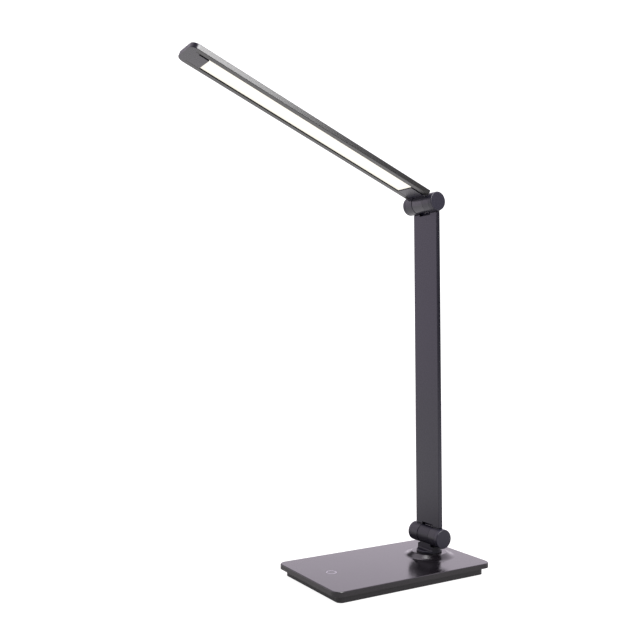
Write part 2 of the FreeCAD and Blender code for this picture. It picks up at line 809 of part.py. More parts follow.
def write_head():
    """The pieces that tilt at the upper hinge."""
    save("head_bracket", in_head(head_bracket()))
    save("upper_hinge_pin", in_head(turned_over(hinge_pin())))
    save("upper_hinge_nut", in_head(hinge_nut()))
    save("upper_hinge_washers", *[in_head(washer) for washer in hinge_washers()])
    save("head_housing", in_head(head_housing()))
    save("head_tip", in_head(head_tip()))
    save("diffuser", in_head(diffuser()))
    save("light_guide", in_head(light_guide()))
    save("reflector_sheet", in_head(reflector_sheet()))
    save("led_strips", *[in_head(strip) for strip in led_strips()])
    save("leds", *[in_head(lamp) for lamp in leds()])


os.makedirs("parts", exist_ok=True)
write_base()
write_neck()
write_arm()
write_head()
print("lower hinge", lower_hinge)
print("upper hinge", upper_hinge)
print("grommet bore", vector(0, tray_length / 2, grommet_z()))
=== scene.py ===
"""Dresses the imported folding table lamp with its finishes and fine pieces, and sets a studio round it."""

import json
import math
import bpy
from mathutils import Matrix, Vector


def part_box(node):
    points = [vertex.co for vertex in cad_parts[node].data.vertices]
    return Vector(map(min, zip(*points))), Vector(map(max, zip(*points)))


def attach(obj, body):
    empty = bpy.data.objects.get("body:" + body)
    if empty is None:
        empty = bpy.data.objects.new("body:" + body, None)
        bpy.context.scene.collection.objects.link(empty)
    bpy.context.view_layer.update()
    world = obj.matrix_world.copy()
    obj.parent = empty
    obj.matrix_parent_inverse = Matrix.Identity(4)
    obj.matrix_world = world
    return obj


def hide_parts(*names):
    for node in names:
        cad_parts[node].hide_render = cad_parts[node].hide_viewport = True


bl_info = {
    "name": "Folding LED Table Lamp",
    "version": (1, 0, 0),
    "blender": (4, 5, 0),
    "location": "View3D > Sidebar > Table Lamp",
    "description": "Finishes, fine pieces and a studio for the packed table lamp",
    "category": "Object",
}

import bpy
import numpy as np
from mathutils import Matrix, Vector

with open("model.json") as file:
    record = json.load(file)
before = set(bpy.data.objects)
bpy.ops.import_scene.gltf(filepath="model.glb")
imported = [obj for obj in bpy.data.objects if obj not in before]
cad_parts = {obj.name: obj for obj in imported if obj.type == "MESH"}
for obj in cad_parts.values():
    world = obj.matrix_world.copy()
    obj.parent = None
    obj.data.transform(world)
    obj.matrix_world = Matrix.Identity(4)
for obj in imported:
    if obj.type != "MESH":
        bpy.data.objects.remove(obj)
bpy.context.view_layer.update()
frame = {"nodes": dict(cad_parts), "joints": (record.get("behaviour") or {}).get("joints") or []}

MM = 0.001
WHITE = (1.0, 1.0, 1.0, 1.0)

# Level of mirroring of a finished face, and of a face given painted shade, whose reflection is cut so that it
# reads dark, and the width over which they meet
FINISHED_LEVEL = 0.5
PAINTED_SHADE_LEVEL = 0.05
PAINTED_SHADE_BLEND = 0.05 * MM

# Edges steeper than this stay sharp
SHARP_ANGLE = math.radians(40)

# Points round a circle, round the section of a ring, on an easing and on a corner
CIRCLE_POINTS = 96
SECTION_POINTS = 24
EASING_POINTS = 6
CORNER_POINTS = 8

# The photograph's focal length in pixels and its width
FOCAL_PIXELS = 785.4256
PICTURE_PIXELS = 640
SENSOR_MM = 36

# Directions in which the room is dim, with the cosines where the dim part is full and where it ends:
# to the right behind the lamp, behind the camera, and high on the left, where the head's end mirrors it
DIM_PARTS = (
    ((0.77, 0.63, -0.1), 0.94, 0.87),
    ((0.6, -0.77, 0.25), 0.95, 0.6),
    ((-0.87, 0.17, 0.45), 0.99, 0.95),
)

# Sizes and places of the softboxes, in metres, and the point that they face. The side one hangs a little
# over the head, on the right, where the head's side mirrors it
SIDE_SOFTBOX = ((1.0, 0.5), (1.28, 0.12, 1.0))
OVERHEAD_SOFTBOX = ((1.1, 1.1), (0.1, 0.1, 1.8))
LAMP_MIDDLE = Vector((0.0, -0.1, 0.4))

# The floor: radii of its rings, how far it lies under the base, where the painted shadow round the foot, a
# dim light thrown on the lamp, begins to brighten and where it ends, that light's share of the glow, and the
# share that the camera sees
FLOOR_RADII = (0.001, 0.2, 0.6, 1.2, 2.0)
FLOOR_GAP = 0.1 * MM
PAINTED_SHADOW_REACH = (130 * MM, 300 * MM)
PAINTED_SHADOW_SHARE = 0.35
SEEN_SHARE = 1.1


def linear(hex_colour):
    """A linear RGBA colour from an sRGB hex value: a straight line in the darkest part, then a 2.4 power."""
    srgb = np.array([int(hex_colour[i : i + 2], 16) for i in (1, 3, 5)]) / 255
    rgb = np.where(srgb <= 0.04045, srgb / 12.92, ((srgb + 0.055) / 1.055) ** 2.4)
    return (*rgb.tolist(), 1.0)


def per_metre(size_mm):
    """A pattern's scale from the real size of what it draws."""
    return 1000.0 / size_mm


def joint_place(name):
    """Where a joint's axis passes, in metres."""
    return Vector(next(joint["pos_m"] for joint in frame["joints"] if joint["name"] == name))


# Materials


def add(tree, kind, settings, sockets):
    """Adds a shader node: settings are its own properties, and sockets get values or other nodes' outputs."""
    node = tree.nodes.new("ShaderNode" + kind)
    for name, value in settings.items():
        setattr(node, name, value)
    for name, value in sockets.items():
        if isinstance(value, bpy.types.NodeSocket):
            tree.links.new(value, node.inputs[name])
        else:
            node.inputs[name].default_value = value
    return node.outputs


def start(name):
    """An empty material with its tree and the Object coordinates that its patterns read."""
    material = bpy.data.materials.new(name)
    material.use_nodes = True
    tree = material.node_tree
    tree.nodes.clear()
    coords = add(tree, "TexCoord", {}, {})["Object"]
    return material, tree, coords


def noise(tree, coords, size_mm, detail):
    """A cloudy pattern, from 0 to 1, whose patches have a real size."""
    return add(tree, "TexNoise", {}, {"Vector": coords, "Scale": per_metre(size_mm), "Detail": detail})["Fac"]


def streaks(tree, coords, sizes_mm, detail):
    """A cloudy pattern drawn out: its patches have a real size along each axis."""
    scale = [per_metre(size) for size in sizes_mm]
    stretched = add(tree, "Mapping", {}, {"Vector": coords, "Scale": scale})[0]
    return add(tree, "TexNoise", {}, {"Vector": stretched, "Scale": 1.0, "Detail": detail})["Fac"]


def blend(tree, pattern, colour, pale):
    """A colour that goes over to a paler one where a pattern is high."""
    return add(tree, "Mix", {"data_type": "RGBA"}, {0: pattern, 6: colour, 7: pale})[2]


def spread(tree, pattern, low, high):
    """A pattern laid out between two values."""
    return add(tree, "MapRange", {}, {"Value": pattern, "To Min": low, "To Max": high})[0]


def relief(tree, height, strength, depth_mm):
    """The slopes of a fine pattern of a real depth."""
    return add(tree, "Bump", {}, {"Height": height, "Strength": strength, "Distance": depth_mm * MM})[0]


def show(tree, sockets):
    """Ends a material with its shader."""
    shader = add(tree, "BsdfPrincipled", {}, sockets)
    add(tree, "OutputMaterial", {}, {"Surface": shader["BSDF"]})


def moulded_abs(name, colour, pale, roughness, index):
    """ABS moulded in a spark-eroded tool.

    It gives the eye an even dark satin skin with soft reflections, a faint cloudiness where the melt flowed
    and a fine grain. The real grain is about 0.15 mm, drawn at 0.7 mm so that it shows.
    """
    material, tree, coords = start(name)
    flow = noise(tree, coords, 40, 3.0)
    grain = noise(tree, coords, 0.7, 2.0)
    tone = blend(tree, flow, colour, pale)
    rough = spread(tree, flow, roughness - 0.03, roughness + 0.04)
    bump = relief(tree, grain, 0.12, 0.02)
    show(tree, {"Base Color": tone, "Roughness": rough, "Normal": bump, "IOR": index})
    return material


def painted_shade_past(tree, distance, limit):
    """The level of mirroring on either side of a limit: past it the reflection is cut to a tenth, a painted
    shade that makes the face read dark.
    """
    before = {"From Min": limit - PAINTED_SHADE_BLEND, "To Min": FINISHED_LEVEL}
    past = {"From Max": limit, "To Max": PAINTED_SHADE_LEVEL}
    return add(tree, "MapRange", {}, {"Value": distance, **before, **past})[0]


def anodised_aluminium(name, colour, pale, roughness, index, tint, tilt, opening):
    """Extruded aluminium, bead blasted and dyed black in the anodising bath.

    The dyed oxide hides the metal, so it gives the eye a dark satin skin that mirrors the room most at a
    slant, with faint draw lines along the length under a fine blasted grain. The blasting is about 0.1 mm,
    drawn at 0.6 mm; the tilt turns the lines to the length of the piece. The walls of an opening, what is
    within its half width and under its roof, measured upwards, get painted shade: their reflection is cut.
    """
    material, tree, coords = start(name)
    turned = add(tree, "Mapping", {}, {"Vector": coords, "Rotation": (tilt, 0.0, 0.0)})[0]
    lines = streaks(tree, turned, (0.9, 0.9, 90), 2.0)
    grain = noise(tree, coords, 0.6, 1.0)
    tone = blend(tree, lines, colour, pale)
    rough = spread(tree, grain, roughness - 0.02, roughness + 0.02)
    bump = relief(tree, lines, 0.03, 0.01)
    skin = {"Base Color": tone, "Roughness": rough, "Normal": bump, "IOR": index, "Specular Tint": tint}
    if opening:
        half_width, upwards, roof = opening
        place = add(tree, "SeparateXYZ", {}, {"Vector": coords})["X"]
        across = add(tree, "Math", {"operation": "ABSOLUTE"}, {0: place})[0]
        inwards = add(tree, "Math", {"operation": "SUBTRACT"}, {0: half_width, 1: across})[0]
        height = add(tree, "VectorMath", {"operation": "DOT_PRODUCT"}, {0: coords, 1: upwards})["Value"]
        below = add(tree, "Math", {"operation": "SUBTRACT"}, {0: roof, 1: height})[0]
        depth = add(tree, "Math", {"operation": "MINIMUM"}, {0: inwards, 1: below})[0]
        # Painted shade: the opening's walls lose their reflection, so that they read dark
        skin["Specular IOR Level"] = painted_shade_past(tree, depth, 0.0)
    show(tree, skin)
    return material


def coated_casting(name, colour, pale, roughness, index, both_sides, along, end):
    """Die-cast metal with a baked dark coat.

    It gives the eye a smooth satin skin with the slight orange peel of the baked coat, about 1.5 mm from
    dimple to dimple. Past an end, measured along a direction, it gets painted shade: its reflection is cut so
    that it reads dark; with both_sides, the left and the right are measured alike.
    """
    material, tree, coords = start(name)
    cloud = noise(tree, coords, 12, 2.0)
    peel = noise(tree, coords, 1.5, 1.0)
    tone = blend(tree, cloud, colour, pale)
    rough = spread(tree, cloud, roughness - 0.03, roughness + 0.03)
    bump = relief(tree, peel, 0.1, 0.03)
    place = coords
    if both_sides:
        place = add(tree, "VectorMath", {"operation": "ABSOLUTE"}, {0: coords})["Vector"]
    distance = add(tree, "VectorMath", {"operation": "DOT_PRODUCT"}, {0: place, 1: along})["Value"]
    # Painted shade: past the end the reflection is cut, so that it reads dark
    level = painted_shade_past(tree, distance, end)
    show(
        tree,
        {"Base Color": tone, "Roughness": rough, "Normal": bump, "IOR": index, "Specular IOR Level": level},
    )
    return material


def matt_casting(name, colour, pale):
    """Die-cast metal with a matt black powder coat.

    It gives the eye a flat deep black that mirrors little of the room, with the powder's pebbling, about
    0.7 mm across.
    """
    material, tree, coords = start(name)
    pebbles = noise(tree, coords, 0.7, 2.0)
    tone = blend(tree, pebbles, colour, pale)
    rough = spread(tree, pebbles, 0.34, 0.46)
    bump = relief(tree, pebbles, 0.15, 0.03)
    show(
        tree,
        {"Base Color": tone, "Roughness": rough, "Normal": bump, "IOR": 1.47, "Specular IOR Level": 0.45},
    )
    return material


def moulded_rubber(name, colour, pale):
    """Black rubber, pressed in a ground tool.

    It gives the eye a dull surface that is a little dusty, with the fine pits of the tool, about 0.8 mm
    apart.
    """
    material, tree, coords = start(name)
    dust = noise(tree, coords, 9, 4.0)
    pits = add(tree, "TexVoronoi", {}, {"Vector": coords, "Scale": per_metre(0.8)})["Distance"]
    tone = blend(tree, dust, colour, pale)
    rough = spread(tree, dust, 0.7, 0.9)
    bump = relief(tree, pits, 0.3, 0.05)
    show(tree, {"Base Color": tone, "Roughness": rough, "Normal": bump, "IOR": 1.52})
    return material


def opal_acrylic(name, colour, glow, strength):
    """Opal acrylic sheet, extruded with a fine prism texture and lit from behind.

    It gives the eye an even white glow, with a satin face whose prisms, 0.5 mm apart, are drawn at 1 mm.
    """
    material, tree, coords = start(name)
    prisms = add(tree, "TexVoronoi", {}, {"Vector": coords, "Scale": per_metre(1.0)})["Distance"]
    rough = spread(tree, prisms, 0.3, 0.45)
    bump = relief(tree, prisms, 0.1, 0.02)
    show(
        tree,
        {
            "Base Color": colour,
            "Roughness": rough,
            "Normal": bump,
            "IOR": 1.49,
            "Emission Color": glow,
            "Emission Strength": strength,
        },
    )
    return material


def clear_acrylic(name, colour):
    """Clear cast acrylic, polished, with rows of printed dots that let the light out.

    It gives the eye a glassy plate with white specks, 2 mm apart.
    """
    material, tree, coords = start(name)
    rows = {"Vector": coords, "Scale": per_metre(2), "Randomness": 0.0}
    cells = add(tree, "TexVoronoi", {}, rows)["Distance"]
    dots = {"Value": cells, "From Min": 0.15, "From Max": 0.2, "To Min": 0.6, "To Max": 0.05}
    rough = add(tree, "MapRange", {}, dots)[0]
    show(tree, {"Base Color": colour, "Roughness": rough, "Transmission Weight": 0.9, "IOR": 1.49})
    return material


def plated_steel(name, colour, pale, roughness):
    """Turned steel with a thin bright plating.

    It gives the eye a cool metal with faint turning marks, 0.3 mm apart, drawn at 0.5 mm.
    """
    material, tree, coords = start(name)
    marks = streaks(tree, coords, (0.5, 6, 6), 2.0)
    tone = blend(tree, marks, colour, pale)
    rough = spread(tree, marks, roughness - 0.05, roughness + 0.08)
    show(tree, {"Base Color": tone, "Metallic": 1.0, "Roughness": rough})
    return material


def rolled_steel(name, colour, pale):
    """Hot-rolled steel plate, as sheared.

    It gives the eye a grey metal with long streaks of the rolling, about 1 mm across, and dark scale in
    patches.
    """
    material, tree, coords = start(name)
    rolling = streaks(tree, coords, (1, 40, 4), 3.0)
    scale = noise(tree, coords, 18, 4.0)
    tone = blend(tree, scale, colour, pale)
    rough = spread(tree, rolling, 0.35, 0.6)
    show(tree, {"Base Color": tone, "Metallic": 1.0, "Roughness": rough})
    return material


def nylon(name, colour, pale):
    """Black nylon, stamped from sheet.

    It gives the eye a slightly waxy dark ring with a soft mottling, about 3 mm across.
    """
    material, tree, coords = start(name)
    mottle = noise(tree, coords, 3, 2.0)
    tone = blend(tree, mottle, colour, pale)
    rough = spread(tree, mottle, 0.35, 0.5)
    show(tree, {"Base Color": tone, "Roughness": rough, "IOR": 1.53})
    return material


def circuit_board(name, mask, copper):
    """Glass-fibre board under a green solder mask.

    It gives the eye a glossy green with paler tracks, 1.2 mm apart, where copper lies under the mask.
    """
    material, tree, coords = start(name)
    layout = {"Vector": coords, "Scale": per_metre(4.8), "Color1": mask, "Color2": mask, "Mortar": copper}
    tracks = add(tree, "TexBrick", {}, layout)
    rough = spread(tree, tracks["Fac"], 0.25, 0.4)
    show(tree, {"Base Color": tracks["Color"], "Roughness": rough, "IOR": 1.5})
    return material


def white_film(name, colour, pale):
    """White polyester film filled with tiny bubbles.

    It gives the eye a soft matte white, a little uneven, in patches about 6 mm across.
    """
    material, tree, coords = start(name)
    patches = noise(tree, coords, 6, 2.0)
    tone = blend(tree, patches, colour, pale)
    rough = spread(tree, patches, 0.6, 0.75)
    show(tree, {"Base Color": tone, "Roughness": rough, "IOR": 1.57})
    return material


def led_phosphor(name, colour, pale, strength):
    """Silicone with yellow phosphor over the LED chips.

    It gives the eye a warm yellow face, brighter in grains about 0.3 mm across.
    """
    material, tree, coords = start(name)
    grains = noise(tree, coords, 0.3, 1.0)
    tone = blend(tree, grains, colour, pale)
    show(tree, {"Base Color": tone, "Roughness": 0.4, "Emission Color": pale, "Emission Strength": strength})
    return material


def light_table(name, colour, pale, strength):
    """White acrylic over a light table.

    It gives the eye a plain pale floor that glows so that shadows stay soft, with a faint cloudiness about
    400 mm across. The light that it throws on the lamp is dimmed round the foot as a painted shadow, and from
    below it is clear, so that the underside shows.
    """
    material, tree, coords = start(name)
    cloud = noise(tree, coords, 400, 1.0)
    tone = blend(tree, cloud, colour, pale)
    distance = add(tree, "VectorMath", {"operation": "LENGTH"}, {0: coords})["Value"]
    # Painted shadow: round the foot, the light that the floor throws on the lamp is cut to about a third
    near = {"From Min": PAINTED_SHADOW_REACH[0], "To Min": PAINTED_SHADOW_SHARE * strength}
    far = {"From Max": PAINTED_SHADOW_REACH[1], "To Max": strength}
    thrown_with_painted_shadow = add(tree, "MapRange", {}, {"Value": distance, **near, **far})[0]
    path = add(tree, "LightPath", {}, {})["Is Camera Ray"]
    glow = add(tree, "Mix", {"data_type": "FLOAT"}, {0: path, 2: thrown_with_painted_shadow, 3: SEEN_SHARE * strength})[0]
    finish = {"Base Color": tone, "Roughness": 0.9, "Specular IOR Level": 0.1}
    light = {"Emission Color": WHITE, "Emission Strength": glow}
    shader = add(tree, "BsdfPrincipled", {}, {**finish, **light})
    clear = add(tree, "BsdfTransparent", {}, {})
    under = add(tree, "NewGeometry", {}, {})["Backfacing"]
    sides = add(tree, "MixShader", {}, {0: under, 1: shader[0], 2: clear[0]})
    add(tree, "OutputMaterial", {}, {"Surface": sides[0]})
    return material


# Surfaces


def loft(name, rings, looped):
    """A closed skin over rings of points: quads join each ring to the next.

    Looped rings come round to the first again, and otherwise the two end rings are closed by flat caps.
    """
    rows, columns = rings.shape[:2]
    at = np.arange(rows * columns).reshape(rows, columns)
    beside = np.roll(at, -1, axis=1)
    quads = np.stack((at, beside, np.roll(beside, -1, axis=0), np.roll(at, -1, axis=0)), axis=-1)
    faces = quads[: rows if looped else rows - 1].reshape(-1, 4).tolist()
    if not looped:
        faces += [at[0, ::-1].tolist(), at[-1].tolist()]
    mesh = bpy.data.meshes.new(name)
    mesh.from_pydata(rings.reshape(-1, 3).tolist(), [], faces)
    mesh.polygons.foreach_set("use_smooth", np.ones(len(faces), dtype=bool))
    mesh.set_sharp_from_angle(angle=SHARP_ANGLE)
    mesh.update()
    return mesh


def rounded_outline(half_width, half_length, corner):
    """A rectangle with round corners, as points in order.

    A circle of directions is split by quarter: each quarter's arc, of the corner radius, is moved out to
    its corner, and the arcs' ends are joined by the straight sides.
    """
    quarter = np.repeat(np.arange(4), CORNER_POINTS) * (math.pi / 2)
    turn = quarter + np.tile(np.linspace(0, math.pi / 2, CORNER_POINTS), 4)
    middle = quarter + math.pi / 4
    x = np.sign(np.cos(middle)) * (half_width - corner) + corner * np.cos(turn)
    y = np.sign(np.sin(middle)) * (half_length - corner) + corner * np.sin(turn)
    return np.stack((x, y), axis=-1)


def eased_slab(name, outline, low, high, edge):
    """A flat sheet with eased edges.

    The outline is carried up through rings that draw in by a quarter circle at the bottom and at the top.
    """
    turn = np.linspace(0, math.pi / 2, EASING_POINTS)
    draw_in = edge * np.concatenate((1 - np.sin(turn), 1 - np.cos(turn)))
    height = np.concatenate((low + edge * (1 - np.cos(turn)), high - edge * (1 - np.sin(turn))))
    half = np.abs(outline).max(axis=0)
    shrink = (half - draw_in[:, None]) / half
    rings = outline[None] * shrink[:, None, :]
    levels = np.broadcast_to(height[:, None, None], (*rings.shape[:2], 1))
    return loft(name, np.concatenate((rings, levels), axis=-1), looped=False)


def squarish_ring(name, centre, outer, width, low, high):
    """A flat ring with soft edges round an upright axis.

    Its section is a circle whose cosine and sine are raised to the power of a quarter, with their signs kept,
    so that it swells to a square with round corners; the section is carried round a circle.
    """
    power = 0.25
    around = np.linspace(0, 2 * math.pi, CIRCLE_POINTS, endpoint=False)[:, None]
    section = -np.linspace(0, 2 * math.pi, SECTION_POINTS, endpoint=False)[None, :]
    across = np.sign(np.cos(section)) * np.abs(np.cos(section)) ** power
    rise = np.sign(np.sin(section)) * np.abs(np.sin(section)) ** power
    radius = outer - width / 2 + width / 2 * across
    x = centre.x + radius * np.cos(around)
    y = centre.y + radius * np.sin(around)
    z = (low + high) / 2 + (high - low) / 2 * rise + 0 * around
    return loft(name, np.stack((x, y, z), axis=-1), looped=True)


def piece(mesh, material, body, slot, *nodes):
    """Puts a finished mesh in the scene, on its body, for the CAD nodes that it stands for."""
    made = bpy.data.objects.new(mesh.name, mesh)
    bpy.context.scene.collection.objects.link(made)
    mesh.materials.append(material)
    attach(made, body)
    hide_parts(*nodes)


def dress(material, *nodes):
    """Gives CAD nodes a finish."""
    for node in nodes:
        for slot in frame["nodes"][node].material_slots:
            slot.material = material


# Settings


class LampFinishes(bpy.types.PropertyGroup):
    """Colours and gloss of the lamp's finishes."""

    cover: bpy.props.FloatVectorProperty(
        name="Cover", description="Moulded cover of the base", subtype="COLOR", size=4,
        default=linear("#100e11"))
    cover_roughness: bpy.props.FloatProperty(
        name="Cover roughness", description="Blur of the cover's reflections", subtype="FACTOR", min=0,
        max=1, default=0.17)
    tray: bpy.props.FloatVectorProperty(
        name="Tray", description="Moulded tray under the cover", subtype="COLOR", size=4,
        default=linear("#100e11"))
    arm_metal: bpy.props.FloatVectorProperty(
        name="Arm metal", description="Anodised arm", subtype="COLOR", size=4, default=linear("#07070d"))
    head_metal: bpy.props.FloatVectorProperty(
        name="Head metal", description="Anodised head", subtype="COLOR", size=4, default=linear("#121310"))
    metal_roughness: bpy.props.FloatProperty(
        name="Metal roughness", description="Blur of the arm's and head's reflections", subtype="FACTOR",
        min=0, max=1, default=0.28)
    casting: bpy.props.FloatVectorProperty(
        name="Castings", description="Neck, brackets and hinge caps", subtype="COLOR", size=4,
        default=linear("#0e0d18"))
    rubber: bpy.props.FloatVectorProperty(
        name="Rubber", description="Sheet under the base, and the grommet", subtype="COLOR", size=4,
        default=linear("#161517"))
    light: bpy.props.FloatVectorProperty(
        name="Light", description="Colour of the lit diffuser", subtype="COLOR", size=4,
        default=linear("#fffaee"))
    light_strength: bpy.props.FloatProperty(
        name="Light strength", description="Brightness of the lit diffuser", min=0, default=0.95)
    ring: bpy.props.FloatVectorProperty(
        name="Touch ring", description="Light ring of the touch control", subtype="COLOR", size=4,
        default=linear("#8d8893"))


class LampSizes(bpy.types.PropertyGroup):
    """Sizes of the pieces made here."""

    sheet_edge: bpy.props.FloatProperty(
        name="Foot sheet edge", description="Easing of the rubber sheet's edges", unit="LENGTH",
        default=0.4 * MM)
    sheet_corner: bpy.props.FloatProperty(
        name="Foot sheet corner", description="Corner radius of the rubber sheet", unit="LENGTH",
        default=5 * MM)
    ring_proud: bpy.props.FloatProperty(
        name="Ring proud", description="Height of the touch ring over the cover", unit="LENGTH",
        default=0.03 * MM)
    ring_width: bpy.props.FloatProperty(
        name="Ring width", description="Width of the touch ring's face", unit="LENGTH", default=0.8 * MM)


class StudioSettings(bpy.types.PropertyGroup):
    """Camera and light."""

    camera_place: bpy.props.FloatVectorProperty(
        name="Camera place", description="Where the camera stands", subtype="TRANSLATION", unit="LENGTH",
        size=3, default=(0.594266, -0.438492, 0.223519))
    camera_azimuth: bpy.props.FloatProperty(
        name="Azimuth", description="Turn of the view about the lamp", subtype="ANGLE",
        default=math.radians(58.397))
    camera_pitch: bpy.props.FloatProperty(
        name="Pitch", description="How far the view looks down", subtype="ANGLE",
        default=math.radians(-1.0742))
    camera_roll: bpy.props.FloatProperty(
        name="Roll", description="Turn of the picture", subtype="ANGLE", default=math.radians(0.3834))
    lens: bpy.props.FloatProperty(
        name="Lens", description="Focal length on a 36 mm wide sensor, in millimetres",
        default=FOCAL_PIXELS * SENSOR_MM / PICTURE_PIXELS)
    room: bpy.props.FloatProperty(
        name="Room light", description="Brightness of the white room", min=0, default=1.35)
    tint: bpy.props.FloatVectorProperty(
        name="Room tint", description="Colour of the room's light", subtype="COLOR", size=4,
        default=(1.0, 0.91, 1.04, 1.0))
    shade: bpy.props.FloatProperty(
        name="Shaded side", description="Share of the room's light on its shaded sides", min=0, default=0.12)
    softbox: bpy.props.FloatProperty(
        name="Softbox", description="Power of the softbox", min=0, subtype="POWER", default=20.0)
    floor: bpy.props.FloatVectorProperty(
        name="Floor", description="Light table", subtype="COLOR", size=4, default=linear("#7f7d7c"))
    floor_glow: bpy.props.FloatProperty(
        name="Floor glow", description="Light from under the floor", min=0, default=0.86)
    overhead: bpy.props.FloatProperty(
        name="Overhead", description="Power of the overhead softbox", min=0, subtype="POWER", default=16.0)


# Operators


def head_direction():
    """The way the head points from its hinge, along its lit window."""
    low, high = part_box("reflector_sheet")
    return Vector((0, low.y - high.y, high.z - low.z)).normalized()


def along_mesh(node, direction):
    """How far each vertex of a CAD node lies along a direction."""
    mesh = frame["nodes"][node].data
    points = np.empty(3 * len(mesh.vertices))
    mesh.vertices.foreach_get("co", points)
    return points.reshape(-1, 3) @ np.array(direction)


def lighter(colour, share):
    """A colour raised by a share of itself."""
    return (*[min(1.0, channel * (1 + share)) for channel in colour[:3]], 1.0)


class LAMP_OT_base(bpy.types.Operator):
    """Finish the base's cover and tray"""

    bl_idname = "lamp.base"
    bl_label = "Base"

    def execute(self, context):
        finishes = context.scene.lamp_finishes
        cover = finishes.cover[:]
        gloss = finishes.cover_roughness
        dress(moulded_abs("satin_moulded_abs", cover, lighter(cover, 0.12), gloss, index=1.6), "base_cover")
        tray = finishes.tray[:]
        matt = moulded_abs("matt_moulded_abs", tray, lighter(tray, 0.15), roughness=0.35, index=1.55)
        dress(matt, "base_tray")
        return {"FINISHED"}


class LAMP_OT_rubber(bpy.types.Operator):
    """Make the rubber sheet under the base, and finish the grommet and the touch electrode"""

    bl_idname = "lamp.rubber"
    bl_label = "Rubber"

    def execute(self, context):
        sizes = context.scene.lamp_sizes
        colour = context.scene.lamp_finishes.rubber[:]
        material = moulded_rubber("pressed_rubber", colour, lighter(colour, 0.6))
        low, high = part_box("anti_slip_pad")
        outline = rounded_outline(high.x, high.y, sizes.sheet_corner)
        sheet = eased_slab("foot_sheet", outline, low.z, high.z, sizes.sheet_edge)
        piece(sheet, material, "base", "pad_rubber", "anti_slip_pad")
        dress(material, "cord_grommet", "touch_electrode")
        return {"FINISHED"}


class LAMP_OT_touch_ring(bpy.types.Operator):
    """Make the touch control's light ring"""

    bl_idname = "lamp.touch_ring"
    bl_label = "Touch ring"

    def execute(self, context):
        sizes = context.scene.lamp_sizes
        colour = context.scene.lamp_finishes.ring[:]
        low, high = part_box("touch_ring")
        centre = (low + high) / 2
        outer = high.x - centre.x
        top = high.z + sizes.ring_proud
        ring = squarish_ring("touch_light", centre, outer, sizes.ring_width, low.z, top)
        pale = lighter(colour, 0.2)
        material = moulded_abs("frosted_ring_acrylic", colour, pale, roughness=0.2, index=1.55)
        piece(ring, material, "base", "ring_acrylic", "touch_ring")
        return {"FINISHED"}


class LAMP_OT_hinges(bpy.types.Operator):
    """Finish the neck, the brackets and the hinge caps"""

    bl_idname = "lamp.hinges"
    bl_label = "Neck and hinges"

    def execute(self, context):
        colour = context.scene.lamp_finishes.casting[:]
        gloss = 0.3
        # Between the ears, the slots get painted shade: their reflection is cut so that they read dark
        ears = -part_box("lower_hinge_washers")[1].x
        slots = {"both_sides": True, "along": Vector((-1, 0, 0)), "end": ears}
        coat = (colour, lighter(colour, 0.15), gloss)
        dress(coated_casting("baked_coat_on_casting", *coat, index=1.47, **slots), "lower_arm_bracket")
        # Painted light: the upper bracket and the head's bracket get a paler copy of the same coat, with a
        # stronger reflection, so that they read lit; the caps below use the paler tone as well
        bright = lighter(colour, 0.5)
        satin = (bright, lighter(bright, 0.15), gloss)
        dress(coated_casting("paler_coat_painted_light_on_ears", *satin, index=1.55, **slots), "upper_arm_bracket")
        # What is plugged into the head, from just before the diffuser on, gets painted shade: its reflection
        # is cut so that it reads dark
        along = head_direction()
        plug = {"both_sides": False, "along": along, "end": along_mesh("diffuser", along).min() - 0.2 * MM}
        dress(coated_casting("paler_coat_painted_light_on_casting", *satin, index=1.66, **plug), "head_bracket")
        dress(matt_casting("powder_coat_on_casting", colour, lighter(colour, 0.4)), "neck_post")
        caps = moulded_abs("cap_moulded_abs", bright, lighter(bright, 0.15), roughness=0.34, index=1.48)
        dress(caps, "lower_cap_left", "lower_cap_right", "upper_cap_left", "upper_cap_right")
        washers = nylon("black_nylon", linear("#1d1c1f"), linear("#29282b"))
        dress(washers, "swivel_washer", "lower_hinge_washers", "upper_hinge_washers")
        return {"FINISHED"}


class LAMP_OT_arm(bpy.types.Operator):
    """Finish the arm"""

    bl_idname = "lamp.arm"
    bl_label = "Arm"

    def execute(self, context):
        finishes = context.scene.lamp_finishes
        colour = finishes.arm_metal[:]
        gloss = finishes.metal_roughness
        span = joint_place("upper_tilt") - joint_place("lower_tilt")
        lean = math.atan2(span.y, span.z)
        blue = (0.88, 0.86, 1.0, 1.0)
        dye = (colour, lighter(colour, 0.3), gloss)
        metal = anodised_aluminium("anodised_arm", *dye, index=1.55, tint=blue, tilt=lean, opening=None)
        dress(metal, "arm_tube")
        dark = linear("#2a292c")
        dress(plated_steel("blackened_screw_steel", dark, lighter(dark, 0.3), roughness=0.35), "arm_screws")
        return {"FINISHED"}


class LAMP_OT_head(bpy.types.Operator):
    """Finish the head's channel and tip"""

    bl_idname = "lamp.head"
    bl_label = "Head"

    def execute(self, context):
        finishes = context.scene.lamp_finishes
        colour = finishes.head_metal[:]
        gloss = finishes.metal_roughness
        along = head_direction()
        tilt = -math.atan2(along.y, along.z)
        upwards = along.cross(Vector((1, 0, 0)))
        # The walls of the window's opening get painted shade: their reflection is cut so that they read dark
        roof = along_mesh("head_housing", upwards).max() - 0.3 * MM
        opening = (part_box("light_guide")[1].x, upwards, roof)
        dye = (colour, lighter(colour, 0.3), gloss)
        metal = anodised_aluminium("anodised_head", *dye, index=1.6, tint=WHITE, tilt=tilt, opening=opening)
        dress(metal, "head_housing")
        casting = finishes.casting[:]
        tip = moulded_abs("tip_moulded_abs", casting, lighter(casting, 0.1), roughness=0.22, index=1.6)
        dress(tip, "head_tip")
        return {"FINISHED"}


class LAMP_OT_diffuser(bpy.types.Operator):
    """Finish the lit diffuser"""

    bl_idname = "lamp.diffuser"
    bl_label = "Diffuser"

    def execute(self, context):
        finishes = context.scene.lamp_finishes
        glow = finishes.light[:]
        dress(opal_acrylic("opal_acrylic", linear("#55554f"), glow, finishes.light_strength), "diffuser")
        return {"FINISHED"}


